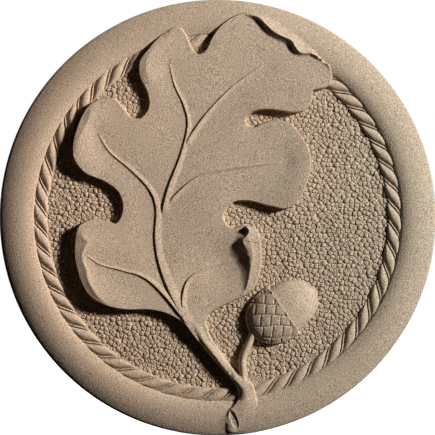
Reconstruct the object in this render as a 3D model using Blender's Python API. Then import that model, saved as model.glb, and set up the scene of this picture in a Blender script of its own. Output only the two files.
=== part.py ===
# A round relief medallion carved from one block of sandstone: an oak leaf with an acorn on a pebbled
# field, inside a rope moulding and a broad rounded rim. The back lies on y = 0 with the origin at its
# centre, the carved face looks along -Y and +Z is up. A rise is a distance in front of the back.
import math

import bmesh
import bpy
import numpy as np
from mathutils import Matrix, Vector
from mathutils.geometry import delaunay_2d_cdt

# Driving dimensions, in metres
DISC_DIAMETER = 0.350
EDGE_RISE = 0.0420          # front corner of the edge
CREST_RISE = 0.0484         # highest line of the rim
CREST_INSET = 0.0189        # from the edge in to that line
RIM_WIDTH = 0.0273          # from the edge in to the rope
RIM_LIP_DROP = 0.0016       # crest down to the rim's inner lip
BACK_CHAMFER = 0.0030
ROPE_WIDTH = 0.0113
ROPE_BED_RISE = 0.0440
STRAND_PITCH = 0.0172       # along the rope's centre line
STRAND_TILT = math.radians(22.0)
STRAND_LIFT = 0.0004        # centre of a strand over the bed
THREAD_WIDTH = 0.0028       # thin strand between two thick ones
THREAD_LIFT = 0.0007
FIELD_EDGE_RISE = 0.0440
FIELD_CROWN = 0.0030        # how far the field swells at its middle
LEAF_RELIEF = 0.0098        # field up to the face of the leaf
LEAF_ROOT_DEPTH = 0.0040    # how far the leaf runs into the block
ROLL_DROP = 0.0020          # margins of the left lobes, rolled over
ROLL_REACH = 0.0080
TOP_DROP = 0.0034           # top lobe, sinking to the rim
TOP_REACH = 0.0180
CURL_LIFT = 0.0030          # margin of the top lobe over the rope, curled up
CURL_REACH = 0.0110
SWELL_LIFT = 0.0026         # right lobe, rising to its margin
SWELL_REACH = 0.0200
TURN_LIFT = 0.0072          # low right lobe, its margin turned up on edge
TURN_REACH = 0.0240
TURN_DROP = 0.0150          # and falling from there to the field
TURN_FOOT = 0.0080
VEIN_HEIGHT = 0.0017
MIDRIB_WIDTH = 0.0085
VEIN_WIDTH = 0.0050
VEIN_TIP_WIDTH = 0.0020
STEM_WIDTH = 0.0105         # under the leaf
STEM_WAIST_WIDTH = 0.0088
STEM_HEEL_WIDTH = 0.0136    # on the rim
STEM_CENTRE_RISE = 0.0480
STALK_WIDTH = 0.0064
ACORN_TILT = math.radians(34.3)
ACORN_AXIS_RISE = 0.0500    # widest line of the acorn
ACORN_DOME_SHARE = 0.38     # its front in low relief: depth over that of a full round
NUT_WIDTH = 0.0418
NUT_LENGTH = 0.0322         # lip of the cup to the tip
CUP_WIDTH = 0.0450
CUP_DEPTH = 0.0310          # lip of the cup to its base
SCALE_HEIGHT = 0.0018

# Mesh fineness
DISC_SIDES = 104
RIM_STEPS = 4
FIELD_STEPS = 3
OUTLINE_STEP = 0.0048
SURFACE_STEP = 0.0082

discRadius = DISC_DIAMETER / 2
ropeOuter = discRadius - RIM_WIDTH
fieldRadius = ropeOuter - ROPE_WIDTH
ropeRadius = (ropeOuter + fieldRadius) / 2

# The leaf is a free form: knots are shares of the field's radius, right and up from the centre,
# clockwise from the left of the stem. Each lobe and each bay between two lobes has its own run.
LEAF = {
    "low left lobe": [(-0.180, -0.631), (-0.280, -0.564), (-0.398, -0.535), (-0.539, -0.534),
                      (-0.656, -0.508), (-0.745, -0.455), (-0.798, -0.366), (-0.831, -0.237),
                      (-0.827, -0.108), (-0.804, -0.046), (-0.739, -0.015), (-0.656, -0.025)],
    "low left bay": [(-0.586, -0.031), (-0.551, 0.057), (-0.580, 0.154), (-0.662, 0.216)],
    "mid left lobe": [(-0.774, 0.266), (-0.836, 0.345), (-0.843, 0.434), (-0.809, 0.557),
                      (-0.756, 0.651), (-0.686, 0.692), (-0.609, 0.694)],
    "mid left bay": [(-0.556, 0.639), (-0.509, 0.585), (-0.445, 0.585), (-0.399, 0.651)],
    "high left lobe": [(-0.409, 0.739), (-0.451, 0.828), (-0.453, 0.916), (-0.404, 0.986),
                       (-0.339, 1.060), (-0.274, 1.104), (-0.221, 1.110)],
    "high bay": [(-0.186, 1.063), (-0.151, 0.986), (-0.109, 0.957), (-0.062, 0.986)],
    "top lobe": [(-0.027, 1.057), (0.020, 1.122), (0.091, 1.175), (0.173, 1.192), (0.244, 1.169),
                 (0.308, 1.104), (0.379, 1.057), (0.444, 1.034), (0.482, 0.967), (0.555, 0.959),
                 (0.632, 0.910), (0.671, 0.839), (0.632, 0.769), (0.558, 0.749)],
    "high right lobe": [(0.546, 0.692), (0.502, 0.631), (0.432, 0.622), (0.326, 0.637), (0.238, 0.634)],
    "mid right bay": [(0.170, 0.599), (0.162, 0.551), (0.208, 0.526), (0.261, 0.549)],
    "mid right lobe": [(0.338, 0.567), (0.426, 0.544), (0.491, 0.469), (0.539, 0.369), (0.532, 0.251),
                       (0.479, 0.122), (0.408, 0.059), (0.302, 0.075), (0.191, 0.102), (0.102, 0.098)],
    "low right bay": [(0.044, 0.048), (0.029, -0.008), (0.079, -0.065), (0.155, -0.051)],
    "low right lobe": [(0.226, -0.078), (0.249, -0.190), (0.244, -0.308), (0.199, -0.419),
                       (0.132, -0.464), (0.038, -0.508), (-0.048, -0.558), (-0.072, -0.631)],
}

# Crest of the turned-up margin of the low right lobe
TURNED_EDGE = [(0.185, -0.072), (0.155, -0.125), (0.173, -0.190), (0.191, -0.284), (0.179, -0.372),
               (0.152, -0.443)]

# How the leaf's face leaves its level along some lines, with a lift and a reach
FOLDS = [
    (LEAF["low left lobe"][3:11], -ROLL_DROP, ROLL_REACH),
    (LEAF["mid left lobe"][0:6], -ROLL_DROP, ROLL_REACH),
    (LEAF["mid left bay"][3:] + LEAF["high left lobe"][0:5], -ROLL_DROP, ROLL_REACH),
    (LEAF["top lobe"][0:6], -TOP_DROP, TOP_REACH),
    (LEAF["top lobe"][6:12], CURL_LIFT, CURL_REACH),
    (LEAF["mid right lobe"][1:6], SWELL_LIFT, SWELL_REACH),
    (TURNED_EDGE, TURN_LIFT, TURN_REACH),
    (LEAF["low right lobe"][0:5], -TURN_DROP, TURN_FOOT),
]

# Veins run from the stem or from their parent vein to the margin, with the width at the root
VEINS = {
    "midrib": ([(-0.180, -0.631), (-0.274, -0.449), (-0.339, -0.278), (-0.365, -0.119),
                (-0.359, 0.057), (-0.404, 0.172), (-0.515, 0.286), (-0.633, 0.386), (-0.701, 0.495)],
               MIDRIB_WIDTH),
    "low left vein": ([(-0.198, -0.596), (-0.309, -0.458), (-0.427, -0.352), (-0.574, -0.305),
                       (-0.692, -0.272), (-0.771, -0.216)], VEIN_WIDTH),
    "high left vein": ([(-0.324, 0.045), (-0.286, 0.192), (-0.215, 0.369), (-0.174, 0.545),
                        (-0.201, 0.669), (-0.251, 0.775), (-0.280, 0.892)], VEIN_WIDTH),
    "top vein": ([(-0.151, 0.492), (-0.045, 0.634), (0.096, 0.775), (0.261, 0.892)], VEIN_WIDTH),
    "mid right vein": ([(-0.268, 0.116), (-0.162, 0.210), (-0.045, 0.269), (0.132, 0.298),
                        (0.367, 0.323)], VEIN_WIDTH),
    "low right vein": ([(-0.209, -0.484), (-0.174, -0.366), (-0.074, -0.299), (0.114, -0.243)],
                       VEIN_WIDTH),
}
VEIN_STEEP_SHARE = 0.35     # the steep side's width over the gentle side's

# The stem from under the leaf to the rope, then its heel on the rim as (bearing from straight down,
# share of the rim's width, out from the rope)
STEM = [(-0.150, -0.590), (-0.068, -0.725), (0.020, -0.837), (0.102, -0.931), (0.149, -1.019)]
STEM_HEEL = [(math.radians(8.4), 0.13), (math.radians(6.7), 0.46), (math.radians(4.7), 0.77)]
STALK = [(0.176, -1.000), (0.155, -0.872), (0.167, -0.784)]
CUP_LIP = (0.386, -0.543)   # centre of the cup's lip


def at(x, z, rise):
    """Point of the block, from right, up and rise."""
    return Vector((x, -rise, z))


def in_metres(knots):
    return [Vector((x * fieldRadius, z * fieldRadius)) for x, z in knots]


def smooth_line(points, step, closed=False):
    """Even steps along a Catmull-Rom curve through the points."""
    count = len(points)
    spans = count if closed else count - 1
    dense = []
    for i in range(spans):
        if closed:
            a, b, c, d = (points[(i + k) % count] for k in (-1, 0, 1, 2))
        else:
            b, c = points[i], points[i + 1]
            a = points[i - 1] if i > 0 else b * 2 - c
            d = points[i + 2] if i + 2 < count else c * 2 - b
        for k in range(16):
            t = k / 16
            dense.append(0.5 * (2 * b + (c - a) * t + (2 * a - 5 * b + 4 * c - d) * t * t
                                + (3 * b - a - 3 * c + d) * t ** 3))
    dense.append(points[0] if closed else points[-1])
    lengths = [0.0]
    for p, q in zip(dense, dense[1:]):
        lengths.append(lengths[-1] + (q - p).length)
    pieces = max(2, round(lengths[-1] / step))
    marks = np.linspace(0.0, lengths[-1], pieces + 1)
    columns = [np.interp(marks, lengths, [p[k] for p in dense]) for k in range(len(points[0]))]
    line = [Vector(p) for p in zip(*columns)]
    return line[:-1] if closed else line


def nearest(line, p):
    """Distance from p to a line, the share of the line at that place, and the side: 1 right, -1 left."""
    best = (1e9, 0.0, 1.0)
    spans = len(line) - 1
    for i in range(spans):
        run = line[i + 1] - line[i]
        t = max(0.0, min(1.0, (p - line[i]).dot(run) / run.length_squared))
        off = p - line[i] - run * t
        if off.length < best[0]:
            best = (off.length, (i + t) / spans, 1.0 if run.x * off.y - run.y * off.x < 0 else -1.0)
    return best


def field_rise(radius):
    return FIELD_EDGE_RISE + FIELD_CROWN * (1.0 - (radius / fieldRadius) ** 2)


def add_revolved(bm, profile, sides, matrix, bump=None):
    """Closed body of revolution about its own Z. The profile is (radius, height) between two poles."""
    low = bm.verts.new(matrix @ Vector((0, 0, profile[0][1])))
    high = bm.verts.new(matrix @ Vector((0, 0, profile[-1][1])))
    rings = []
    for i, (radius, height) in enumerate(profile[1:-1]):
        ring = []
        for k in range(sides):
            turn = 2 * math.pi * k / sides
            r = radius + (bump(i, k) if bump else 0.0)
            ring.append(bm.verts.new(matrix @ Vector((r * math.cos(turn), r * math.sin(turn), height))))
        rings.append(ring)
    for k in range(sides):
        n = (k + 1) % sides
        bm.faces.new((low, rings[0][n], rings[0][k]))
        bm.faces.new((high, rings[-1][k], rings[-1][n]))
        for a, b in zip(rings, rings[1:]):
            bm.faces.new((a[k], a[n], b[n], b[k]))


def add_tube(bm, path, radii, sides):
    """Closed round tube along a path in space."""
    rings = []
    for i, centre in enumerate(path):
        ahead = (path[min(i + 1, len(path) - 1)] - path[max(i - 1, 0)]).normalized()
        across = ahead.cross(Vector((0, -1, 0))).normalized()
        outward = across.cross(ahead).normalized()
        ring = []
        for k in range(sides):
            turn = 2 * math.pi * k / sides
            ring.append(bm.verts.new(centre + radii[i] * (math.cos(turn) * across
                                                          + math.sin(turn) * outward)))
        rings.append(ring)
    for a, b in zip(rings, rings[1:]):
        for k in range(sides):
            n = (k + 1) % sides
            bm.faces.new((a[k], a[n], b[n], b[k]))
    bm.faces.new(rings[0][::-1])
    bm.faces.new(rings[-1])


def make_object(name, bm):
    bmesh.ops.recalc_face_normals(bm, faces=bm.faces)
    mesh = bpy.data.meshes.new(name)
    bm.to_mesh(mesh)
    bm.free()
    made = bpy.data.objects.new(name, mesh)
    bpy.context.scene.collection.objects.link(made)
    return made


def disc():
    """Back, edge, rounded rim, bed of the rope and swelling field, turned in one profile."""
    profile = [(0.0, 0.0), (discRadius - BACK_CHAMFER, 0.0), (discRadius, BACK_CHAMFER)]
    for i in range(RIM_STEPS + 1):
        turn = math.pi / 2 * i / RIM_STEPS
        profile.append((discRadius - CREST_INSET * (1.0 - math.cos(turn)) if i == RIM_STEPS
                        else discRadius - CREST_INSET * i / RIM_STEPS,
                        EDGE_RISE + (CREST_RISE - EDGE_RISE) * math.sin(turn)))
    profile.append((ropeOuter, CREST_RISE - RIM_LIP_DROP))
    profile.append((ropeOuter - (CREST_RISE - RIM_LIP_DROP - ROPE_BED_RISE) * 0.3, ROPE_BED_RISE))
    for i in range(FIELD_STEPS + 1):
        radius = fieldRadius * (1.0 - i / FIELD_STEPS)
        profile.append((radius, field_rise(radius)))
    bm = bmesh.new()
    add_revolved(bm, profile, DISC_SIDES, Matrix.Rotation(math.radians(90), 4, "X"))
    return make_object("carved_stone_medallion", bm)


def rope(count, shift, width, length, lift, sides, stations):
    """Spindles laid aslant around the rope's centre line, half sunk in its bed."""
    bm = bmesh.new()
    for i in range(count):
        bearing = 2 * math.pi * (i + shift) / count
        outward = Vector((math.sin(bearing), 0, math.cos(bearing)))
        clockwise = Vector((math.cos(bearing), 0, -math.sin(bearing)))
        along = math.cos(STRAND_TILT) * clockwise + math.sin(STRAND_TILT) * outward
        front = Vector((0, -1, 0))
        across = front.cross(along)
        turn = Matrix((across, front, along)).transposed().to_4x4()
        centre = at(ropeRadius * outward.x, ropeRadius * outward.z, ROPE_BED_RISE + lift)
        profile = [(width / 2 * (1.0 - t * t), length / 2 * t) for t in stations]
        add_revolved(bm, profile, sides, Matrix.Translation(centre) @ turn)
    return bm


def leaf_rise(p, folds, veins):
    """Rise of the leaf's face at p: its level over the field, the folds of its margin and its veins."""
    rise = field_rise(min(p.length, fieldRadius)) + LEAF_RELIEF
    for line, lift, reach in folds:
        t = nearest(line, p)[0] / reach
        if t < 1.0:
            rise += lift * (1.0 - t) ** 2
    ridge = 0.0
    for line, root_width in veins:
        distance, share, side = nearest(line, p)
        width = root_width + (VEIN_TIP_WIDTH - root_width) * share
        reach = width if side > 0 else width * VEIN_STEEP_SHARE
        height = VEIN_HEIGHT * (1.0 - 0.6 * share)
        ridge = max(ridge, height * (1.0 - distance / reach))
    return rise + ridge


def leaf():
    outline = smooth_line(in_metres(sum(LEAF.values(), [])), OUTLINE_STEP, closed=True)
    folds = [(smooth_line(in_metres(line), OUTLINE_STEP), lift, reach) for line, lift, reach in FOLDS]
    veins = [(smooth_line(in_metres(line), SURFACE_STEP), width) for line, width in VEINS.values()]
    count = len(outline)
    points = list(outline)
    edges = [(i, (i + 1) % count) for i in range(count)]

    def clear(p, gap):
        return all((p - q).length > gap for q in points)

    # crest and both feet of each vein
    for line, root_width in veins:
        for offset in (0.0, 1.0, -VEIN_STEEP_SHARE):
            last = None
            for i, p in enumerate(line):
                run = (line[min(i + 1, len(line) - 1)] - line[max(i - 1, 0)]).normalized()
                width = root_width + (VEIN_TIP_WIDTH - root_width) * i / (len(line) - 1)
                spot = p + Vector((run.y, -run.x)) * width * offset
                if not clear(spot, SURFACE_STEP * 0.18):
                    last = None
                    continue
                points.append(spot)
                if last is not None:
                    edges.append((last, len(points) - 1))
                last = len(points) - 1
    # even points over the rest of the face
    rows = int(3 * fieldRadius / SURFACE_STEP)
    inside = []
    for j in range(rows):
        for i in range(rows):
            p = Vector(((i + 0.5 * (j % 2)) * SURFACE_STEP - 1.3 * fieldRadius,
                        j * SURFACE_STEP * 0.866 - 1.3 * fieldRadius))
            if clear(p, SURFACE_STEP * 0.62):
                inside.append(p)
    points += inside
    verts, _, faces, *_ = delaunay_2d_cdt(points, edges, [list(range(count))], 1, 1e-6)

    bm = bmesh.new()
    made = [bm.verts.new(at(p.x, p.y, leaf_rise(p, folds, veins))) for p in verts]
    for face in faces:
        bm.faces.new([made[i] for i in face])
    loose = [v for v in bm.verts if not v.link_faces]
    bmesh.ops.delete(bm, geom=loose, context="VERTS")
    margin = [e for e in bm.edges if e.is_boundary]
    skirt = bmesh.ops.extrude_edge_only(bm, edges=margin)["geom"]
    root = -(FIELD_EDGE_RISE - LEAF_ROOT_DEPTH)
    for v in skirt:
        if isinstance(v, bmesh.types.BMVert):
            v.co.y = root
    bmesh.ops.holes_fill(bm, edges=[e for e in bm.edges if e.is_boundary], sides=0)
    return make_object("leaf", bm)


def stem():
    """The stem with its heel on the rim, in one tapered tube."""
    ground = [at(x * fieldRadius, z * fieldRadius, STEM_CENTRE_RISE) for x, z in STEM]
    heel = []
    for bearing, share in STEM_HEEL:
        r = ropeOuter + RIM_WIDTH * share
        heel.append(at(r * math.sin(bearing), -r * math.cos(bearing), STEM_CENTRE_RISE))
    path = smooth_line(ground + heel, SURFACE_STEP)
    waist = 0.45
    radii = []
    for i in range(len(path)):
        t = i / (len(path) - 1)
        if t < waist:
            radii.append((STEM_WIDTH + (STEM_WAIST_WIDTH - STEM_WIDTH) * t / waist) / 2)
        else:
            radii.append((STEM_WAIST_WIDTH + (STEM_HEEL_WIDTH - STEM_WAIST_WIDTH)
                          * math.sin(math.pi / 2 * (t - waist) / (1 - waist))) / 2)
    bm = bmesh.new()
    add_tube(bm, path, radii, 10)
    return make_object("stem", bm)


def stalk(base):
    """The acorn's own thin stalk, from the stem up to the base of the cup."""
    path = [at(x * fieldRadius, z * fieldRadius, STEM_CENTRE_RISE) for x, z in STALK]
    path.append(base)
    path = smooth_line(path, SURFACE_STEP)
    bm = bmesh.new()
    add_tube(bm, path, [STALK_WIDTH / 2] * len(path), 8)
    return make_object("stalk", bm)


def acorn_axes():
    """Lip centre of the cup, and a turn whose Z runs along the acorn to its tip."""
    lip = at(CUP_LIP[0] * fieldRadius, CUP_LIP[1] * fieldRadius, ACORN_AXIS_RISE)
    along = Vector((math.cos(ACORN_TILT), 0, math.sin(ACORN_TILT)))
    front = Vector((0, -1, 0))
    turn = Matrix((front.cross(along), front, along)).transposed().to_4x4()
    return lip, along, Matrix.Translation(lip) @ turn


def flatten_front(bm):
    for v in bm.verts:
        v.co.y = max(v.co.y, -ACORN_AXIS_RISE + (v.co.y + ACORN_AXIS_RISE) * ACORN_DOME_SHARE)


def nut():
    _, _, place = acorn_axes()
    profile = [(0.0, -CUP_DEPTH * 0.3), (NUT_WIDTH * 0.45, -CUP_DEPTH * 0.25)]
    for t in (0.0, 0.3, 0.55, 0.75, 0.88, 0.96):
        profile.append((NUT_WIDTH / 2 * math.sqrt(1.0 - t ** 2.2), NUT_LENGTH * t * 0.96))
    profile.append((0.0, NUT_LENGTH))
    bm = bmesh.new()
    add_revolved(bm, profile, 20, place)
    flatten_front(bm)
    return make_object("nut", bm)


def cup():
    """Cup with a lattice of scales, and a plain lip."""
    _, _, place = acorn_axes()
    steps = 9
    profile = [(0.0, -CUP_DEPTH)]
    for i in range(1, steps + 1):
        t = 1.0 - i / steps
        profile.append((CUP_WIDTH / 2 * (1.0 - t ** 2.4) ** 0.5 - SCALE_HEIGHT / 2, -CUP_DEPTH * t * 0.97))
    profile.append((0.0, 0.0))

    def scales(ring, side):
        if ring >= steps - 1:
            return SCALE_HEIGHT / 2
        return SCALE_HEIGHT if (ring + side) % 2 == 0 else 0.0

    bm = bmesh.new()
    add_revolved(bm, profile, 24, place, scales)
    flatten_front(bm)
    return make_object("cup", bm)


def stone_material():
    stone = bpy.data.materials.new("buff_sandstone")
    stone.use_nodes = True
    shader = stone.node_tree.nodes["Principled BSDF"]
    shader.inputs["Base Color"].default_value = (0.44, 0.33, 0.23, 1.0)
    shader.inputs["Roughness"].default_value = 0.9
    shader.inputs["Metallic"].default_value = 0.0
    return stone


def unite(block, form):
    """Adds a form to the block and keeps it as a hidden guide."""
    join = block.modifiers.new(form.name, "BOOLEAN")
    join.operation = "UNION"
    join.solver = "EXACT"
    join.object = form
    form.hide_render = True
    form.display_type = "WIRE"


for old in list(bpy.data.objects):
    bpy.data.objects.remove(old, do_unlink=True)

block = disc()
strandCount = round(2 * math.pi * ropeRadius / STRAND_PITCH)
strandWidth = 1.12 * STRAND_PITCH * math.sin(STRAND_TILT)
strandLength = 0.75 * ROPE_WIDTH / math.sin(STRAND_TILT)
thick = make_object("strands", rope(strandCount, 0.0, strandWidth, strandLength, STRAND_LIFT, 6,
                                    (-1.0, -0.6, 0.0, 0.6, 1.0)))
thin = make_object("threads", rope(strandCount, 0.5, THREAD_WIDTH, strandLength * 0.8, THREAD_LIFT, 4,
                                   (-1.0, 0.0, 1.0)))
lip, along, _ = acorn_axes()
cupBase = lip - along * CUP_DEPTH * 0.95
for form in (thick, thin, leaf(), stem(), stalk(cupBase), cup(), nut()):
    unite(block, form)
block.data.materials.append(stone_material())
block.data.shade_smooth()
block.data.set_sharp_from_angle(angle=math.radians(35))
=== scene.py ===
import math

import bmesh
import bpy
import numpy as np
from mathutils import Matrix, Vector


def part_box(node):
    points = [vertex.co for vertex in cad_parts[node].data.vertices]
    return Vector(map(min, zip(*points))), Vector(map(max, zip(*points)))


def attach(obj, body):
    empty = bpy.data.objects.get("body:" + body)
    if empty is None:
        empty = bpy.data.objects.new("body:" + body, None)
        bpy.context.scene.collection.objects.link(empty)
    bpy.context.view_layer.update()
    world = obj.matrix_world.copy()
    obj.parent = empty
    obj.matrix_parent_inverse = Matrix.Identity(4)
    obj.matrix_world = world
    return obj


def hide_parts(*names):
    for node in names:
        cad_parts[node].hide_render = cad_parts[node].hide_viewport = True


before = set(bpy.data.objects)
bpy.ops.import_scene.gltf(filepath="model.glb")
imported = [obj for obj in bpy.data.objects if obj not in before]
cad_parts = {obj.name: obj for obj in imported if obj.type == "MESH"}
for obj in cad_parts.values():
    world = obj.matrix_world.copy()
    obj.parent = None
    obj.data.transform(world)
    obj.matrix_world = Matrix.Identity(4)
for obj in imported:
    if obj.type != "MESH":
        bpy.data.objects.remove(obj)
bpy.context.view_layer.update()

# Plan and rise of the carving are worked out in millimetres: x to the right, z up, rise out of the back.
mm = 0.001
blockNode = "carved_stone_medallion"
low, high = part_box(blockNode)

block = {
    "radius": (high[0] - low[0]) / 2 / mm - 0.02,   # a hair inside the CAD box
    "edgeRise": 42.3,       # front corner of the edge
    "arris": 0.5,           # how far that corner is worn
    "arrisWidth": 1.2,
    "crestRise": 47.8,      # highest line of the rim
    "crestInset": 18.9,     # from the edge in to that line
    "rimWidth": 27.3,       # from the edge in to the rope
    "lipDrop": 2.0,         # crest down to the rim's inner lip
    "backChamfer": 3.0,
    "ropeWidth": 11.3,
    "fieldRise": 44.0,      # where the field meets the rope
    "fieldCrown": 3.0,      # swell of the field at its middle
    "columns": 1792,        # mesh lines round the block, half as many inside each half radius
    "ringStep": 0.62,       # mesh lines across its face
    "ropeRingStep": 0.42,
    "mostTriangles": 196000,
}
radius = block["radius"]
ropeOuter = radius - block["rimWidth"]
fieldRadius = ropeOuter - block["ropeWidth"]
ropeRadius = (ropeOuter + fieldRadius) / 2


def inMm(knots):
    return np.array(knots) * fieldRadius


def smoothLine(points, step, closed=False):
    # even steps along a Catmull-Rom curve
    p = np.asarray(points, float)
    if closed:
        p = np.vstack([p[-1:], p, p[:2]])
    else:
        p = np.vstack([2 * p[0] - p[1], p, 2 * p[-1] - p[-2]])
    t = np.linspace(0, 1, 24, endpoint=False)[:, None]
    runs = []
    for a, b, c, d in zip(p, p[1:], p[2:], p[3:]):
        runs.append(0.5 * (2 * b + (c - a) * t + (2 * a - 5 * b + 4 * c - d) * t ** 2
                           + (3 * b - a - 3 * c + d) * t ** 3))
    dense = np.vstack(runs + [p[-2:-1]])
    gone = np.concatenate([[0], np.cumsum(np.linalg.norm(np.diff(dense[:, :2], axis=0), axis=1))])
    marks = np.linspace(0, gone[-1], max(3, int(round(gone[-1] / step))) + 1)
    return np.stack([np.interp(marks, gone, dense[:, k]) for k in range(dense.shape[1])], 1)


def nearLine(line, x, z, reach):
    # distance to a line, share along it, side (1 right of it) and way off it, where nearer than reach
    far = np.full(len(x), 1e3)
    share = np.zeros(len(x))
    side = np.ones(len(x))
    off = np.zeros((len(x), 2))
    spans = len(line) - 1
    for i in range(spans):
        a, b = line[i], line[i + 1]
        lowX, highX = min(a[0], b[0]) - reach, max(a[0], b[0]) + reach
        lowZ, highZ = min(a[1], b[1]) - reach, max(a[1], b[1]) + reach
        spot = np.flatnonzero((x > lowX) & (x < highX) & (z > lowZ) & (z < highZ))
        if not len(spot):
            continue
        run = b - a
        px, pz = x[spot] - a[0], z[spot] - a[1]
        t = np.clip((px * run[0] + pz * run[1]) / (run @ run), 0, 1)
        dx, dz = px - t * run[0], pz - t * run[1]
        d = np.hypot(dx, dz)
        better = d < far[spot]
        hit = spot[better]
        far[hit] = d[better]
        share[hit] = (i + t[better]) / spans
        side[hit] = np.where(run[0] * dz[better] - run[1] * dx[better] < 0, 1.0, -1.0)
        off[hit, 0], off[hit, 1] = dx[better], dz[better]
    return far, share, side, off


def withinLoop(line, x, z):
    inside = np.zeros(len(x), bool)
    for a, b in zip(line, line[1:]):
        spot = np.flatnonzero((z > min(a[1], b[1])) & (z <= max(a[1], b[1])))
        if len(spot):
            crossing = a[0] + (z[spot] - a[1]) * (b[0] - a[0]) / (b[1] - a[1])
            inside[spot[x[spot] < crossing]] ^= True
    return inside


def softStep(t):
    t = np.clip(t, 0, 1)
    return t * t * (3 - 2 * t)


def rimRise(r):
    # the rim rounds off from its crest, outward to the edge and inward to its lip
    crest = radius - block["crestInset"]
    outward = (block["crestRise"] - block["edgeRise"]) * ((r - crest) / block["crestInset"]) ** 2
    inward = block["lipDrop"] * ((crest - r) / (crest - ropeOuter)) ** 2
    worn = block["arris"] * softStep((r - radius + block["arrisWidth"]) / block["arrisWidth"])
    return block["crestRise"] - np.where(r > crest, outward, inward) - worn


def fieldRise(r):
    return block["fieldRise"] + block["fieldCrown"] * (1 - np.minimum(r / fieldRadius, 1) ** 2)


rope = {
    "bedRise": 43.6,
    "pitch": 17.2,
    "slant": 6.6,           # along the rope from its centre line to its side
    "tuck": 2.4,            # the same again, only near the side
    "strandHeight": 2.9,
    "strandShare": 0.41,    # half width of a strand over the pitch
    "strandSpot": 0.40,     # where its middle lies in the pitch
    "threadHeight": 1.8,
    "threadShare": 0.075,
    "threadSpot": 0.90,
}


def ropeRise(r, bearing):
    # thick strands and thin threads in turn, laid aslant and tucked in at both sides of the bed
    count = round(2 * math.pi * ropeRadius / rope["pitch"])
    v = (r - ropeRadius) / (block["ropeWidth"] / 2)
    phase = bearing * count / (2 * math.pi) - (rope["slant"] * v + rope["tuck"] * v ** 3) / rope["pitch"]
    q = (phase + rope["strandSpot"]) % 1.0
    c = (q - rope["strandSpot"]) / rope["strandShare"]
    reach = np.abs(v) * (1 + 0.15 * c ** 2)
    thick = np.clip(1 - c ** 2, 0, 1) ** 0.65 * np.clip(1 - reach ** 3.0, 0, 1) ** 0.5
    c = (q - rope["threadSpot"]) / rope["threadShare"]
    thin = np.clip(1 - c ** 2, 0, 1) ** 0.5 * np.clip(1 - np.abs(1.1 * v) ** 4, 0, 1) ** 0.5
    return rope["bedRise"] + np.maximum(rope["strandHeight"] * thick, rope["threadHeight"] * thin)


field = {
    "pebble": 4.1,          # mean spacing
    "rowShare": 0.866,      # the next row, as a share of the spacing, as are those below
    "jitter": 0.48,
    "closest": 0.88,
    "roundEnd": 0.64,       # a pebble is sunk this far from its middle
    "roundFall": 0.26,      # and falls over this width
    "dimpleWidth": 0.24,
    "dimpled": 0.40,        # share of the pebbles
    "height": 1.4,
    "heightSpread": (0.7, 1.2),
    "seam": 1.6,            # width over which a pebble falls to the seam round it
    "dimple": 0.70,
    "lean": 0.10,
    "seed": 11,
}


def scatterPebbles():
    # a loose hexagonal scatter, pushed apart until no two are much too near
    draw = np.random.default_rng(field["seed"])
    s = field["pebble"]
    row = field["rowShare"]
    rows = int(fieldRadius / (s * row)) + 2
    spots = [((i + 0.5 * (j % 2)) * s, j * s * row) for j in range(-rows, rows + 1)
             for i in range(-rows, rows + 1)]
    spots = np.array(spots)
    spots += draw.uniform(-field["jitter"] * s, field["jitter"] * s, spots.shape)
    spots = spots[np.hypot(spots[:, 0], spots[:, 1]) < fieldRadius + 0.5 * s]
    apart = field["closest"] * s
    for _ in range(5):
        moved = np.zeros_like(spots)
        for start in range(0, len(spots), 400):
            gap = spots[start:start + 400, None, :] - spots[None, :, :]
            d = np.hypot(gap[..., 0], gap[..., 1])
            push = np.where((d > 0) & (d < apart), (apart - d) / np.maximum(d, 1e-6) / 2, 0)
            moved[start:start + 400] = (gap * push[..., None]).sum(1)
        spots += 0.7 * moved
    tall = field["height"] * draw.uniform(*field["heightSpread"], len(spots))
    dimple = field["dimple"] * (draw.random(len(spots)) < field["dimpled"])
    lean = draw.uniform(-field["lean"], field["lean"], spots.shape)
    return spots, tall, dimple, lean


def pebbleRise(x, z):
    # each pebble is a low round pillow, sunk at the seams with its neighbours, some with a dimple
    spots, tall, dimple, lean = scatterPebbles()
    cell = field["pebble"]
    start = -fieldRadius - 4 * cell
    side = int(-2 * start / cell) + 1
    table = np.full((side, side, 6), -1)
    held = np.zeros((side, side), int)
    for k, (sx, sz) in enumerate(spots):
        i, j = int((sx - start) / cell), int((sz - start) / cell)
        if held[i, j] < 6:
            table[i, j, held[i, j]] = k
            held[i, j] += 1
    vi = ((x - start) / cell).astype(int)
    vj = ((z - start) / cell).astype(int)
    first = np.full(len(x), 9.0 * cell)
    second = np.full(len(x), 9.0 * cell)
    owner = np.zeros(len(x), int)
    for i in (-1, 0, 1):
        for j in (-1, 0, 1):
            for slot in range(int(held.max())):
                k = table[vi + i, vj + j, slot]
                d = np.where(k >= 0, np.hypot(x - spots[k, 0], z - spots[k, 1]), 9.0 * cell)
                nearer = d < first
                second = np.where(nearer, first, np.minimum(second, d))
                owner = np.where(nearer, k, owner)
                first = np.where(nearer, d, first)
    seam = np.clip((second - first) / field["seam"], 0, 1)
    rounding = np.clip((field["roundEnd"] * cell - first) / (field["roundFall"] * cell), 0, 1)
    body = tall[owner] * (1 - (1 - np.minimum(seam, rounding)) ** 2)
    body *= 1 - 0.06 * (first / (0.5 * cell)) ** 2
    body -= dimple[owner] * np.exp(-(first / (field["dimpleWidth"] * cell)) ** 2)
    tip = (x - spots[owner, 0]) * lean[owner, 0] + (z - spots[owner, 1]) * lean[owner, 1]
    return np.maximum(body + tip * seam, 0)


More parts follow.
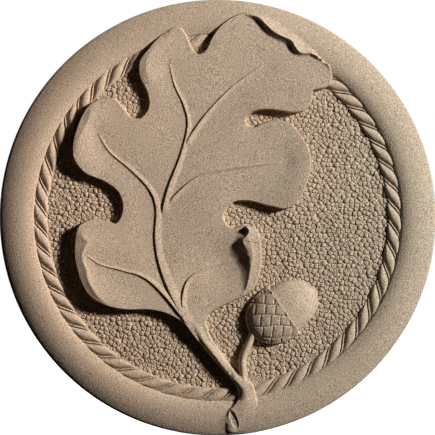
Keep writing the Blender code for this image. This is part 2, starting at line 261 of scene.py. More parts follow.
stalk = {
    "path": [(0.165, -0.990), (0.150, -0.945), (0.149, -0.895), (0.146, -0.855), (0.152, -0.812),
             (0.171, -0.765), (0.195, -0.710), (0.215, -0.670)],
    "width": 6.2,
    "axisRise": 46.2,
    "depth": 4.6,
    "sunk": 9.0,            # its form drops this far at its sides, to lie under the ground
}


def stalkRise(x, z):
    d = nearLine(smoothLine(inMm(stalk["path"]), 1.2), x, z, 10.0)[0]
    half = stalk["width"] / 2
    arch = np.sqrt(np.clip(1 - (d / half) ** 2, 0, 1))
    return stalk["axisRise"] + stalk["depth"] * arch - stalk["sunk"] * (d > half)


def groundRise(x, z):
    # rim, rope and field, each in its own ring
    r = np.hypot(x, z)
    rise = rimRise(r)
    bed = (r < ropeOuter) & (r > fieldRadius)
    lip = softStep((ropeOuter - r[bed]) / 1.0)
    strands = ropeRise(r[bed], np.arctan2(x[bed], z[bed]))
    rise[bed] = np.maximum(strands, rope["bedRise"] * lip + rise[bed] * (1 - lip))
    within = r <= fieldRadius
    rise[within] = fieldRise(r[within]) - field["height"] + pebbleRise(x[within], z[within])
    return np.maximum(rise, stalkRise(x, z))


# The leaf's margin, clockwise from the left of the stem, as shares of the field's radius
leafMargin = {
    "lowLeftLobe": [(-0.180, -0.631), (-0.280, -0.564), (-0.398, -0.535), (-0.539, -0.534),
                    (-0.656, -0.508), (-0.745, -0.455), (-0.798, -0.366), (-0.831, -0.237),
                    (-0.827, -0.108), (-0.804, -0.046), (-0.739, -0.015), (-0.656, -0.025)],
    "lowLeftBay": [(-0.586, -0.031), (-0.551, 0.057), (-0.580, 0.154), (-0.662, 0.216)],
    "midLeftLobe": [(-0.774, 0.266), (-0.836, 0.345), (-0.843, 0.434), (-0.809, 0.557),
                    (-0.756, 0.651), (-0.686, 0.692), (-0.609, 0.694)],
    "midLeftBay": [(-0.556, 0.639), (-0.509, 0.585), (-0.445, 0.585), (-0.399, 0.651)],
    "highLeftLobe": [(-0.409, 0.739), (-0.451, 0.828), (-0.453, 0.916), (-0.404, 0.986),
                     (-0.339, 1.060), (-0.274, 1.104), (-0.221, 1.110)],
    "highBay": [(-0.186, 1.063), (-0.151, 0.986), (-0.109, 0.957), (-0.062, 0.986)],
    "topLobe": [(-0.027, 1.057), (0.020, 1.122), (0.091, 1.175), (0.191, 1.204), (0.261, 1.189),
                (0.320, 1.169), (0.373, 1.134), (0.426, 1.098), (0.485, 1.054), (0.544, 1.004),
                (0.602, 0.945), (0.649, 0.892), (0.671, 0.839), (0.632, 0.769), (0.558, 0.749)],
    "highRightLobe": [(0.546, 0.692), (0.502, 0.631), (0.432, 0.622), (0.326, 0.637), (0.238, 0.634)],
    "midRightBay": [(0.170, 0.599), (0.162, 0.551), (0.208, 0.526), (0.261, 0.549)],
    "midRightLobe": [(0.338, 0.567), (0.426, 0.544), (0.491, 0.469), (0.539, 0.369), (0.532, 0.251),
                     (0.479, 0.122), (0.408, 0.059), (0.302, 0.075), (0.191, 0.102), (0.102, 0.098)],
    "lowRightBay": [(0.044, 0.048), (0.029, -0.008), (0.079, -0.065), (0.155, -0.051)],
    "lowRightLobe": [(0.226, -0.078), (0.249, -0.190), (0.244, -0.308), (0.199, -0.419),
                     (0.132, -0.464), (0.038, -0.508), (-0.048, -0.558), (-0.076, -0.631)],
    "root": [(-0.054, -0.700), (-0.010, -0.775), (-0.040, -0.800), (-0.090, -0.730)],
}
# How far the leaf's face stands above its own level along each run of the margin
marginLift = {
    "lowLeftLobe": [3.6, 2.4, 2.0, 3.5, 5.4, 6.0, 6.0, 5.4, 4.8, 4.0, 3.0, 2.0],
    "lowLeftBay": [1.5, 1.2, 1.2, 2.0],
    "midLeftLobe": [3.4, 5.4, 6.0, 5.0, 4.0, 3.0, 2.5],
    "midLeftBay": [2.0, 1.5, 1.4, 0.6],
    "highLeftLobe": [0.8, 3.4, 3.6, 3.0, 2.0, 1.6, 1.6],
    "highBay": [1.2, 0.8, 0.8, 1.6],
    "topLobe": [2.2, 2.2, 1.8, 0.8, 0.7, 0.7, 0.7, 0.7, 0.8, 1.0, 1.3, 2.2, 3.6, 4.4, 4.8],
    "highRightLobe": [5.0, 5.2, 4.8, 4.4, 3.4],
    "midRightBay": [2.0, 1.0, 1.0, 1.4],
    "midRightLobe": [1.6, 2.8, 4.6, 5.8, 6.0, 5.8, 4.8, 3.0, 1.3, 1.0],
    "lowRightBay": [1.0, 0.8, 1.4, 2.6],
    "lowRightLobe": [0.4, 0.4, 0.4, 0.8, 1.2, 0.8, 1.0, 2.0],
    "root": [2.0, 0.4, 0.0, 2.0],
}
# The same along the veins, root to tip
veinLift = {
    "midrib": [3.4, 2.2, 0.8, 0.0, 0.0, 0.0, 0.6, 1.6],
    "lowLeftVein": [2.0, 1.6, 2.4, 4.0],
    "highLeftVein": [0.0, 0.0, 0.0, 0.6],
    "topVein": [0.0, 0.2, 0.4, 0.8],
    "midRightVein": [0.0, 0.3, 1.2, 3.0],
    "lowRightVein": [2.4, 0.2, -0.6, -0.6],
}
leaf = {
    "relief": 3.8,          # field up to the leaf's own level
    "liftBlend": 4.5,       # mm over which the lifts of neighbouring lines run together
    "wallZone": 1.7,        # mesh lines this near the margin become its wall
    "draft": 1.1,           # how far the wall's foot stands out from its top
    "veinHeight": 1.75,
    "veinTip": 1.2,         # width at the tip
    "veinSteep": 0.9,       # width of a vein's steep side
    "rollReach": 9.0,       # how far out the slope of a rolled margin runs
    "rollFall": 3.4,        # how soon the lift of its crest fades to either side
}
# Raised margins: crest line, lift of the crest along it, how far in the face curves up to it, and
# the share of its height kept at the outline
raisedMargins = {
    "topLobe": ([(0.173, 1.192), (0.238, 1.175), (0.279, 1.139), (0.320, 1.098), (0.367, 1.069),
                 (0.408, 1.051), (0.438, 1.034), (0.455, 1.004), (0.479, 0.971), (0.514, 0.963),
                 (0.549, 0.963), (0.585, 0.945), (0.626, 0.916), (0.655, 0.881), (0.667, 0.839)],
                [1.0, 3.2, 3.8, 3.8, 3.8, 3.8, 2.6, 2.0, 1.2, 0.0],
                [2.5, 3.4, 5.5, 6.0, 6.0, 5.5, 3.0, 2.6, 2.6, 2.0], 0.0),
    "lowRightLobe": ([(0.173, -0.058), (0.185, -0.072), (0.182, -0.090), (0.170, -0.108),
                      (0.149, -0.134), (0.161, -0.166), (0.179, -0.202), (0.189, -0.249),
                      (0.191, -0.284), (0.188, -0.325), (0.179, -0.372), (0.167, -0.414),
                      (0.152, -0.443)],
                     [5.0, 5.0, 5.0, 5.2, 4.7, 3.9, 3.2, 2.6, 1.8, 0.3],
                     [3.5, 4.0, 8.0, 16.0, 15.0, 12.0, 10.0, 8.0, 5.0, 3.0], 0.80),
}
# Rolled margins of the left lobes: crest line from top to bottom, outward slope, lift of the crest
rolledMargins = {
    "lowLeftLobe": ([(-0.809, -0.061), (-0.786, -0.119), (-0.762, -0.143), (-0.780, -0.178),
                     (-0.792, -0.219), (-0.786, -0.261), (-0.768, -0.308), (-0.762, -0.349),
                     (-0.739, -0.402), (-0.704, -0.455), (-0.656, -0.496), (-0.604, -0.519)], 0.22, 1.2),
    "midLeftLobe": ([(-0.698, 0.692), (-0.739, 0.634), (-0.756, 0.575), (-0.786, 0.516),
                     (-0.809, 0.469), (-0.827, 0.416), (-0.833, 0.369)], 0.22, 0.5),
    "highLeftLobe": ([(-0.268, 1.086), (-0.309, 1.039), (-0.351, 1.016), (-0.392, 0.975),
                      (-0.415, 0.928), (-0.421, 0.881), (-0.415, 0.834), (-0.404, 0.786)], 0.22, 0.4),
}
# Soft swells and hollows of the face: middle, reach, lift
swells = [
    ((-0.115, 0.163), 30.0, 1.4),
    ((0.026, -0.296), 17.0, -2.2),
]
# Knots from root to tip, width at the root
veins = {
    "midrib": ([(-0.140, -0.690), (-0.180, -0.631), (-0.274, -0.449), (-0.339, -0.278), (-0.365, -0.119),
                (-0.359, 0.057), (-0.404, 0.172), (-0.515, 0.286), (-0.633, 0.386), (-0.701, 0.495)], 8.0),
    "lowLeftVein": ([(-0.180, -0.620), (-0.309, -0.458), (-0.427, -0.352), (-0.574, -0.305),
                     (-0.692, -0.272), (-0.771, -0.216)], 4.4),
    "highLeftVein": ([(-0.326, -0.010), (-0.318, 0.060), (-0.282, 0.192),
                      (-0.215, 0.369), (-0.174, 0.545), (-0.201, 0.669), (-0.251, 0.775),
                      (-0.280, 0.892)], 5.6),
    "topVein": ([(-0.200, 0.400), (-0.151, 0.492), (-0.045, 0.634), (0.096, 0.775), (0.261, 0.892)], 4.2),
    "midRightVein": ([(-0.300, 0.060), (-0.262, 0.116), (-0.162, 0.210), (-0.045, 0.269), (0.132, 0.298),
                      (0.367, 0.323)], 3.4),
    "lowRightVein": ([(-0.195, -0.560), (-0.207, -0.484), (-0.174, -0.366), (-0.074, -0.299),
                      (0.114, -0.243)], 3.8),
}


def spreadLifts(x, z):
    # the lifts given along the margin and the veins, run together over the face between them
    runs = [(leafMargin[name], lifts) for name, lifts in marginLift.items()]
    runs += [(veins[name][0], lifts) for name, lifts in veinLift.items()]
    marks = []
    for knots, lifts in runs:
        lift = np.interp(np.linspace(0, 1, len(knots)), np.linspace(0, 1, len(lifts)), lifts)
        marks.append(smoothLine(np.column_stack([inMm(knots), lift]), 5.0))
    marks = np.vstack(marks)
    spread = np.empty(len(x))
    for start in range(0, len(x), 5000):
        part = slice(start, start + 5000)
        apart = (x[part, None] - marks[:, 0]) ** 2 + (z[part, None] - marks[:, 1]) ** 2
        weight = (apart + leaf["liftBlend"] ** 2) ** -1.5
        spread[part] = weight @ marks[:, 2] / weight.sum(axis=1)
    return spread


def leafRise(x, z):
    rise = fieldRise(np.hypot(x, z)) + leaf["relief"] + spreadLifts(x, z)
    for (sx, sz), reach, lift in swells:
        rise += lift * np.exp(-((x - sx * fieldRadius) ** 2 + (z - sz * fieldRadius) ** 2) / reach ** 2)
    for knots, slope, lift in rolledMargins.values():
        d, share, side, _ = nearLine(smoothLine(inMm(knots), 1.5), x, z, 14.0)
        within = (d < 100) & (share > 0) & (share < 1)
        rise += np.where(within & (side > 0), -slope * np.minimum(d, leaf["rollReach"]), 0)
        fade = softStep(4 * share) * softStep(4 - 4 * share)
        rise += lift * np.where(d < 100, np.exp(-d / leaf["rollFall"]), 0) * fade
    for knots, lifts, reaches, _ in raisedMargins.values():
        d, share, _, _ = nearLine(smoothLine(inMm(knots), 1.2), x, z, max(reaches))
        spot = np.flatnonzero(d < max(reaches))
        marks = np.linspace(0, 1, len(lifts))
        reach = np.interp(share[spot], marks, reaches)
        rise[spot] += np.interp(share[spot], marks, lifts) * np.clip(1 - d[spot] / reach, 0, 1) ** 2
    ridge = np.zeros(len(x))
    for knots, width in veins.values():
        d, share, side, _ = nearLine(smoothLine(inMm(knots), 2.0), x, z, 12.0)
        wide = np.where(side > 0, width + (leaf["veinTip"] - width) * share, leaf["veinSteep"])
        height = leaf["veinHeight"] * np.sqrt(1 - 0.94 * share) * softStep(share / 0.10)
        t = np.clip(d / wide, 0, 1)
        ridge = np.maximum(ridge, height * (1 - t) * (1 + 0.5 * t * (side > 0)))
    return rise + ridge


def leafTop(x, z, ground, inward):
    # the face, and outside a raised margin the slope from its crest down to the leaf's outline
    rise = leafRise(x, z)
    for knots, _, _, keep in raisedMargins.values():
        d, share, side, off = nearLine(smoothLine(inMm(knots), 1.2), x, z, 18.0)
        spot = np.flatnonzero((d < 100) & (side < 0) & (share > 0) & (share < 1))
        crest = leafRise(x[spot] - off[spot, 0], z[spot] - off[spot, 1])
        t = d[spot] / (d[spot] + inward[spot])
        rise[spot] = ground[spot] + (crest - ground[spot]) * (keep + (1 - keep) * (1 - t) ** 1.25)
    return rise


stem = {
    "left": [(-0.240, -0.550), (-0.180, -0.631), (-0.133, -0.696), (-0.074, -0.766), (-0.015, -0.837),
             (0.044, -0.902), (0.091, -0.955), (0.120, -1.002), (0.130, -1.037), (0.122, -1.070),
             (0.097, -1.105), (0.073, -1.129), (0.060, -1.165), (0.058, -1.215), (0.067, -1.262)],
    "right": [(-0.130, -0.550), (-0.072, -0.631), (-0.045, -0.708), (0.014, -0.790), (0.073, -0.872),
              (0.108, -0.914), (0.155, -0.950), (0.195, -0.975), (0.215, -1.025), (0.226, -1.072),
              (0.220, -1.120), (0.197, -1.172), (0.155, -1.219), (0.114, -1.255)],
    # from heel to leaf: height in the picture, rise of its back there, share of it lost across it
    "back": [(-1.262, 45.6, 0.9), (-1.215, 47.8, 0.9), (-1.165, 49.2, 0.85), (-1.12, 50.2, 0.8),
             (-1.07, 51.2, 0.65), (-1.00, 52.2, 0.3), (-0.90, 52.9, 0.25), (-0.83, 53.2, 0.45),
             (-0.77, 53.6, 0.45), (-0.67, 54.0, 0.4), (-0.62, 53.2, 0.3), (-0.55, 50.0, 0.1)],
    "cut": (0.0965, -1.184),  # middle of the hollow at its cut end
    "cutTurn": 19.0,        # from upright
    "cutSize": (7.6, 2.6),
    "cutDepth": 6.5,
    "leftDrop": 0.40,       # share of its rise lost at its left side
    "leftWidth": 0.55,      # share of its width over which that comes back
}


def stemTop(x, z, ground, inward):
    toLeft = nearLine(smoothLine(inMm(stem["left"]), 1.5), x, z, 24.0)[0]
    toRight = nearLine(smoothLine(inMm(stem["right"]), 1.5), x, z, 24.0)[0]
    across = toLeft / np.maximum(toLeft + toRight, 1e-3)
    heights, rises, falls = np.array(stem["back"]).T
    crest = np.interp(z / fieldRadius, heights, rises)
    fall = np.interp(z / fieldRadius, heights, falls)
    level = np.where(np.hypot(x, z) > ropeOuter, rimRise(np.hypot(x, z)), block["fieldRise"])
    rise = crest - (crest - level) * fall * across ** 1.8
    rise -= stem["leftDrop"] * (crest - level) * np.clip(1 - across / stem["leftWidth"], 0, 1) ** 2
    turn = math.radians(stem["cutTurn"])
    dx, dz = x - stem["cut"][0] * fieldRadius, z - stem["cut"][1] * fieldRadius
    along = (dz * math.cos(turn) - dx * math.sin(turn)) / stem["cutSize"][0]
    aside = (dx * math.cos(turn) + dz * math.sin(turn)) / stem["cutSize"][1]
    hollow = np.sqrt(np.clip(1 - along ** 2 - aside ** 2, 0, 1))
    return rise - stem["cutDepth"] * hollow ** 0.7


acorn = {
    "lip": (0.386, -0.543),
    "tilt": 34.3,
    "axisRise": 46.6,
    "domeShare": 0.45,      # depth of the front over that of a full round
    "tipFall": 3.0,         # the nut's back falls this far to its tip
    "nutWidth": 39.4,
    "nutLength": 30.6,
    "cupWidth": 44.8,
    "cupDepth": 31.4,
    "scaleSize": (7.9, 8.8),
    "scaleStart": (0.273, -0.505),
    "scaleLean": 0.10,
    "scaleHeight": 1.1,
    "grooveShare": 0.26,    # width of a groove over the size of a scale
    "scallop": (0.7, 7.0),  # how deep and how wide the lip of the cup is scalloped
}


def acornPlace(x, z):
    # along the acorn from the cup's lip to the tip, and across it
    tilt = math.radians(acorn["tilt"])
    dx, dz = x - acorn["lip"][0] * fieldRadius, z - acorn["lip"][1] * fieldRadius
    return dx * math.cos(tilt) + dz * math.sin(tilt), dz * math.cos(tilt) - dx * math.sin(tilt)


def nutHalf(a):
    # half width of the nut, with its small point
    t = np.clip(a / acorn["nutLength"], 0, 1)
    return np.maximum(acorn["nutWidth"] / 2 * np.sqrt(np.clip(1 - (t / 0.97) ** 2.1, 0, 1)), 5.0 * (1 - t))


def cupHalf(a):
    t = np.clip(-a / acorn["cupDepth"], 0, 1)
    return acorn["cupWidth"] / 2 * np.sqrt(1 - t ** 2.4)


def acornTop(x, z, ground, inward):
    a, c = acornPlace(x, z)
    lip = acorn["scallop"][0] * np.abs(np.sin(math.pi * c / acorn["scallop"][1]))
    half = np.where(a > lip, nutHalf(a), cupHalf(a))
    body = acorn["domeShare"] * np.sqrt(np.clip(half ** 2 - c ** 2, 0, None))
    body -= acorn["tipFall"] * np.clip(a / acorn["nutLength"], 0, 1) ** 2
    # rows of uneven square scales, upright in the picture
    dx, dz = x - acorn["scaleStart"][0] * fieldRadius, z - acorn["scaleStart"][1] * fieldRadius
    q = dz / acorn["scaleSize"][1]
    q += 0.07 * np.sin(dx / 5.0 + 2 * q)
    p = (dx - acorn["scaleLean"] * dz) / acorn["scaleSize"][0] + 0.22 * np.sin(2.3 * np.floor(q))
    groove = np.minimum(np.abs(np.sin(math.pi * p)), np.abs(np.sin(math.pi * q)))
    scales = 0.75 * np.clip(groove / acorn["grooveShare"], 0, 1) ** 0.7 + 0.25 * groove
    scales = np.maximum(scales, softStep((a - lip + 1.4) / 0.8))
    return acorn["axisRise"] + body + np.where(a > lip, 0, acorn["scaleHeight"] * scales)


def outlineOfAcorn():
    # round the nut and back round the cup
    tilt = math.radians(acorn["tilt"])
    a = np.concatenate([np.linspace(-acorn["cupDepth"], 0, 22), np.linspace(0.01, acorn["nutLength"], 26)])
    a[0] += 0.02
    half = np.where(a > 0, nutHalf(a), cupHalf(a))
    a = np.concatenate([a, a[::-1]])
    c = np.concatenate([half, -half[::-1]])
    x = acorn["lip"][0] * fieldRadius + a * math.cos(tilt) - c * math.sin(tilt)
    z = acorn["lip"][1] * fieldRadius + a * math.sin(tilt) + c * math.cos(tilt)
    loop = np.stack([x, z], 1)
    return np.vstack([loop, loop[:1]])


def outlineOfStem():
    loop = np.vstack([smoothLine(inMm(stem["left"]), 1.2), smoothLine(inMm(stem["right"]), 1.2)[::-1]])
    return np.vstack([loop, loop[:1]])


def crossings(pairs, value):
    # of every two joined mesh points on either side of zero, the one nearer to it
    one, other = value[pairs[:, 0]], value[pairs[:, 1]]
    cut = (one * other < 0) & (np.abs(one) < 2) & (np.abs(other) < 2)
    return np.unique(np.where(np.abs(one[cut]) < np.abs(other[cut]), pairs[cut, 0], pairs[cut, 1]))


def carve(x, z, pairs):
    # The rise of every mesh point and its place in plan: points near an outline gather on its wall,
    # so that the wall is steep, and the nearest ones settle on its corner, its foot and the crests.
    zone = leaf["wallZone"]
    leafLoop = smoothLine(inMm(sum(leafMargin.values(), [])), 1.2, closed=True)
    forms = [(leafLoop, leafTop, 0.0), (outlineOfStem(), stemTop, 0.0), (outlineOfAcorn(), acornTop, 0.5)]
    depth = np.full(len(x), -1e3)
    away = np.zeros((len(x), 2))
    insides = []
    for loop, _, _ in forms:
        d, _, _, off = nearLine(loop, x, z, 3.2 * zone)
        inside = withinLoop(loop, x, z)
        signed = np.where(inside, d, -d)
        better = signed > depth
        unit = off / np.maximum(d, 1e-6)[:, None] * np.where(inside, -1, 1)[:, None]
        away[better] = unit[better]
        depth = np.maximum(depth, signed)
        insides.append(signed)
    settled = depth.copy()
    for line in (-zone, zone):
        settled[crossings(pairs, depth - line)] = line
    knots = [-3 * zone, -zone, zone, 3 * zone]
    places = [-3 * zone, -leaf["draft"], 0.0, 3 * zone]
    near = np.abs(settled) < 3 * zone
    target = np.where(near, np.interp(settled, knots, places), depth)
    x = x - away[:, 0] * (target - depth)
    z = z - away[:, 1] * (target - depth)
    crests = [margin[0] for margin in raisedMargins.values()] + [vein[0] for vein in veins.values()]
    for line in crests:
        d, share, side, off = nearLine(smoothLine(inMm(line), 1.2), x, z, 4.0)
        free = (share > 0) & (share < 1) & (target > 0.7)
        spot = crossings(pairs, np.where(free, d * side, 9.0))
        x[spot] -= off[spot, 0]
        z[spot] -= off[spot, 1]
    ground = groundRise(x, z)
    top = np.full(len(x), -1e3)
    for (loop, rise, inset), signed in zip(forms, insides):
        spot = np.flatnonzero(signed > -zone * 1.05)
        inward = np.where(signed < 3 * zone, np.interp(signed, knots, places), signed)
        # a form is read a little inside its outline
        pull = np.where(near[spot], np.clip(inset + 0.2 - target[spot], 0, None), 0)
        px, pz = x[spot] - away[spot, 0] * pull, z[spot] - away[spot, 1] * pull
        made = rise(px, pz, ground[spot], np.maximum(inward[spot], 0.01))
        top[spot] = np.maximum(top[spot], made)
    wall = np.clip(0.5 + 0.5 * settled / zone, 0, 1)
    return x, z, np.where(top > -1e2, ground + np.maximum(top - ground, 0) * wall, ground)


def turnedGrid():
    # a grid whose rows follow the block's section from the back's centre to the front's, turned round
    r, c = radius, block["backChamfer"]
    section = [(0, 0), (0.5 * r, 0), (r - 2 * c, 0), (r - c, 0), (r - c / 2, c / 2), (r, c), (r, 2 * c),
               (r, block["edgeRise"] / 2), (r, block["edgeRise"] - 3), (r, block["edgeRise"] - 1)]
    reach = [r, ropeOuter + 0.5, fieldRadius - 0.5, 0]
    for outer, inner, step in zip(reach, reach[1:], (1.0, block["ropeRingStep"], block["ringStep"])):
        section += [(ring, block["edgeRise"]) for ring in np.arange(outer, inner + 0.3 * step, -step)]
    section.append((0, block["edgeRise"]))
    section = np.array(section)
    bm = bmesh.new()
    bmesh.ops.create_grid(bm, x_segments=block["columns"], y_segments=len(section) - 1, size=1.0)
    mesh = bpy.data.meshes.new("medallion")
    bm.to_mesh(mesh)
    place = np.empty(len(mesh.vertices) * 3, np.float32)
    mesh.vertices.foreach_get("co", place)
    place = place.reshape(-1, 3)
    row = np.rint((place[:, 1] + 1) / 2 * (len(section) - 1)).astype(int)
    column = np.rint((place[:, 0] + 1) / 2 * block["columns"]).astype(int)
    halvings = np.floor(np.log2(1.001 * r / np.maximum(section[row, 0], r / 100))).astype(int)
    column = column >> halvings << halvings
    turn = column * 2 * math.pi / block["columns"]
    place = np.stack([section[row, 0] * np.sin(turn), -section[row, 1], section[row, 0] * np.cos(turn)], 1)
    mesh.vertices.foreach_set("co", place.astype(np.float32).ravel())
    bm.free()
    bm = bmesh.new()
    bm.from_mesh(mesh)
    bmesh.ops.remove_doubles(bm, verts=bm.verts, dist=0.001)
    if bm.calc_volume(signed=True) < 0:
        bmesh.ops.reverse_faces(bm, faces=bm.faces)
    bmesh.ops.triangulate(bm, faces=bm.faces)
    bm.to_mesh(mesh)
    bm.free()
    return mesh


def makeMedallion():
    mesh = turnedGrid()
    print("grid", len(mesh.vertices), "points")
    place = np.empty(len(mesh.vertices) * 3, np.float32)
    mesh.vertices.foreach_get("co", place)
    x, y, z = place.reshape(-1, 3).T.astype(float)
    front = y < 0.01 - block["edgeRise"]
    pairs = np.empty(len(mesh.edges) * 2, np.int32)
    mesh.edges.foreach_get("vertices", pairs)
    pairs = pairs.reshape(-1, 2)
    pairs = (np.cumsum(front) - 1)[pairs[front[pairs].all(axis=1)]]
    x[front], z[front], rise = carve(x[front], z[front], pairs)
    y[front] = -rise
    print("carved")
    mesh.vertices.foreach_set("co", np.stack([x, y, z], 1).astype(np.float32).ravel())
    made = bpy.data.objects.new("sandstone_medallion", mesh)
    bpy.context.scene.collection.objects.link(made)
    thin = made.modifiers.new("thin", "DECIMATE")
    thin.ratio = min(1.0, block["mostTriangles"] / len(mesh.polygons))
    bpy.context.view_layer.update()
    final = bpy.data.meshes.new_from_object(made.evaluated_get(bpy.context.evaluated_depsgraph_get()))
    made.modifiers.clear()
    made.data = final
    final.transform(Matrix.Scale(mm, 4))
    final.shade_smooth()
    final.set_sharp_from_angle(angle=math.radians(42))
    made.modifiers.new("shade", "WEIGHTED_NORMAL").keep_sharp = True
    bpy.context.view_layer.update()
    made.data = bpy.data.meshes.new_from_object(made.evaluated_get(bpy.context.evaluated_depsgraph_get()))
    made.modifiers.clear()
    print("triangles", len(made.data.polygons))
    return made


class Wire:
    # a socket with arithmetic: each operation adds its Math node
    def __init__(self, tree, socket):
        self.tree, self.socket = tree, socket

    def join(self, operation, other):
        node = self.tree.nodes.new("ShaderNodeMath")
        node.operation = operation
        for k, value in enumerate((self, other)):
            if isinstance(value, Wire):
                self.tree.links.new(value.socket, node.inputs[k])
            else:
                node.inputs[k].default_value = value
        return Wire(self.tree, node.outputs[0])

    def __add__(self, other):
        return self.join("ADD", other)

    def __mul__(self, other):
        return self.join("MULTIPLY", other)

    def __sub__(self, other):
        return self.join("SUBTRACT", other)


def addNode(tree, kind, settings=None, output=0, **values):
    # a node of any other kind: its settings first, then the values or links of its sockets
    node = tree.nodes.new(kind)
    for name, value in (settings or {}).items():
        if name == "stops":
            ramp = node.color_ramp
            while len(ramp.elements) < len(value):
                ramp.elements.new(0.5)
            for element, (spot, colour) in zip(ramp.elements, value):
                element.position, element.color = spot, colour
        else:
            setattr(node, name, value)
    for name, value in values.items():
        socket = node.inputs[int(name[1:])] if name[0] == "i" and name[1:].isdigit() else node.inputs[name]
        if isinstance(value, Wire):
            tree.links.new(value.socket, socket)
        else:
            socket.default_value = value
    return Wire(tree, node.outputs[output])


stone = {
    "warm": (0.590, 0.414, 0.282, 1),       # towards the left edge
    "grey": (0.512, 0.414, 0.300, 1),       # towards the right edge
    "speck": (0.10, 0.07, 0.05, 1),
    "grain": 1300.0,
    "grainDepth": 1.05,
    "speckScale": 900.0,
    "speckDepth": 0.6,
    "cloudScale": 16.0,
    "cloudDepth": 0.16,
    "cloudHue": 0.4,
    "hueTurn": 2.9,             # how fast warm turns to grey, per metre to the right
    "tone": 0.94,
    "shade": (-0.75, 0.20),     # painted shade: change of tone per metre to the right and upward, darkening the stone to the right and towards the bottom as the light falls off there
    "roughness": 0.92,
    "specular": 0.2,
    "bump": 0.6,
    "bumpDepth": 0.0006,
}


def sandstone():
    material = bpy.data.materials.new("buffSandstone")
    material.use_nodes = True
    tree = material.node_tree
    shader = tree.nodes["Principled BSDF"]
    spot = addNode(tree, "ShaderNodeTexCoord", output=3)
    across = addNode(tree, "ShaderNodeSeparateXYZ", i0=spot)
    upward = addNode(tree, "ShaderNodeSeparateXYZ", output=2, i0=spot)
    cloud = addNode(tree, "ShaderNodeTexNoise", Vector=spot, Scale=stone["cloudScale"], Detail=4.0)
    grain = addNode(tree, "ShaderNodeTexNoise", Vector=spot, Scale=stone["grain"], Detail=1.0)
    specks = addNode(tree, "ShaderNodeTexVoronoi", Vector=spot, Scale=stone["speckScale"])
    speck = addNode(tree, "ShaderNodeValToRGB", {"stops": [(0.10, (1, 1, 1, 1)), (0.26, (0, 0, 0, 1))]},
                    Fac=specks)
    greyness = across * stone["hueTurn"] + 0.5 + cloud * stone["cloudHue"] - stone["cloudHue"] / 2
    hue = addNode(tree, "ShaderNodeMix", {"data_type": "RGBA"}, output=2, i0=greyness,
                  i6=stone["warm"], i7=stone["grey"])
    # painted shade: the tone darkens to the right and towards the bottom, standing in for the light's fall
    # across the disc
    tone = across * stone["shade"][0] + upward * stone["shade"][1] + stone["tone"]
    tone = tone + (cloud - 0.5) * stone["cloudDepth"]
    tone = tone + (grain - 0.5) * (2 * stone["grainDepth"])
    tint = addNode(tree, "ShaderNodeVectorMath", {"operation": "SCALE"}, i0=hue, Scale=tone)
    dark = speck * stone["speckDepth"]
    colour = addNode(tree, "ShaderNodeMix", {"data_type": "RGBA"}, output=2, i0=dark, i6=tint,
                     i7=stone["speck"])
    tree.links.new(colour.socket, shader.inputs["Base Color"])
    bump = addNode(tree, "ShaderNodeBump", Height=grain - speck * 0.4, Strength=stone["bump"],
                   Distance=stone["bumpDepth"])
    tree.links.new(bump.socket, shader.inputs["Normal"])
    shader.inputs["Roughness"].default_value = stone["roughness"]
    shader.inputs["Specular IOR Level"].default_value = stone["specular"]
    return material


studio = {
    "lens": 200.0,
    "imageWidth": 435,
    "discPixels": 217.96,   # radius of the disc in the image
    "centrePixel": (217.6, 217.7),
    "lightAway": 2.4,
    "lightTurn": 22.0,      # over the horizontal, in the picture's plane
    "lightLift": 30.0,      # out of that plane
    "lightSize": 0.33,
    "lightPower": 92.0,
    "fill": 0.006,
    "backPlace": (0.6, 1.6, 0.8),
    "backSize": 0.8,
    "backPower": 22.0,
}


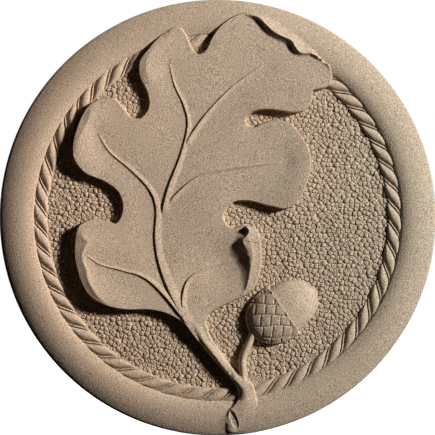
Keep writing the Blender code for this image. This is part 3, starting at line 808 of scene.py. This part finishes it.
def stage():
    scene = bpy.context.scene
    scene.view_settings.view_transform = "Standard"
    world = bpy.data.worlds.new("studio")
    scene.world = world
    world.use_nodes = True
    tree = world.node_tree
    # the backdrop is white to the camera, but lights the stone only a little
    seen = addNode(tree, "ShaderNodeLightPath")
    back = tree.nodes["Background"]
    back.inputs["Color"].default_value = (1, 1, 1, 1)
    strength = seen * (1.0 - studio["fill"]) + studio["fill"]
    tree.links.new(strength.socket, back.inputs["Strength"])

    bm = bmesh.new()
    bmesh.ops.create_grid(bm, x_segments=1, y_segments=1, size=4.0)
    bmesh.ops.translate(bm, vec=(0, 0, low[2] - 0.0005), verts=bm.verts)
    mesh = bpy.data.meshes.new("floor")
    bm.to_mesh(mesh)
    bm.free()
    floor = bpy.data.objects.new("floor", mesh)
    scene.collection.objects.link(floor)
    pale = bpy.data.materials.new("paleFloor")
    pale.use_nodes = True
    shader = pale.node_tree.nodes["Principled BSDF"]
    shader.inputs["Base Color"].default_value = (0.8, 0.8, 0.8, 1)
    shader.inputs["Roughness"].default_value = 0.9
    shader.inputs["Emission Color"].default_value = (1, 1, 1, 1)
    shader.inputs["Emission Strength"].default_value = 1.0
    mesh.materials.append(pale)
    floor.visible_diffuse = False
    floor.visible_glossy = False

    turn, lift = math.radians(studio["lightTurn"]), math.radians(studio["lightLift"])
    way = Vector((math.cos(lift) * math.cos(turn), -math.sin(lift), math.cos(lift) * math.sin(turn)))
    lamp = bpy.data.lights.new("key", "AREA")
    lamp.shape = "DISK"
    lamp.size = studio["lightSize"]
    lamp.energy = studio["lightPower"]
    key = bpy.data.objects.new("key", lamp)
    key.location = way * studio["lightAway"]
    key.rotation_euler = way.to_track_quat("Z", "Y").to_euler()
    scene.collection.objects.link(key)

    # a weak light behind, for the flat back alone
    lamp = bpy.data.lights.new("backFill", "AREA")
    lamp.shape = "DISK"
    lamp.size = studio["backSize"]
    lamp.energy = studio["backPower"]
    fill = bpy.data.objects.new("backFill", lamp)
    fill.location = studio["backPlace"]
    fill.rotation_euler = fill.location.to_track_quat("Z", "Y").to_euler()
    scene.collection.objects.link(fill)

    lens = bpy.data.cameras.new("camera")
    lens.lens = studio["lens"]
    lens.clip_end = 20
    camera = bpy.data.objects.new("camera", lens)
    width = studio["imageWidth"] * radius * mm / studio["discPixels"]
    away = width * lens.lens / lens.sensor_width
    aside = (studio["imageWidth"] / 2 - studio["centrePixel"][0]) * width / studio["imageWidth"]
    above = (studio["centrePixel"][1] - studio["imageWidth"] / 2) * width / studio["imageWidth"]
    camera.location = (aside, -block["edgeRise"] * mm - away, above)
    camera.rotation_euler = (math.radians(90), 0, 0)
    scene.collection.objects.link(camera)
    scene.camera = camera


medallion = makeMedallion()
medallion.data.materials.clear()
medallion.data.materials.append(sandstone())
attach(medallion, "root")
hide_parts(blockNode)
print("medallion done")
stage()
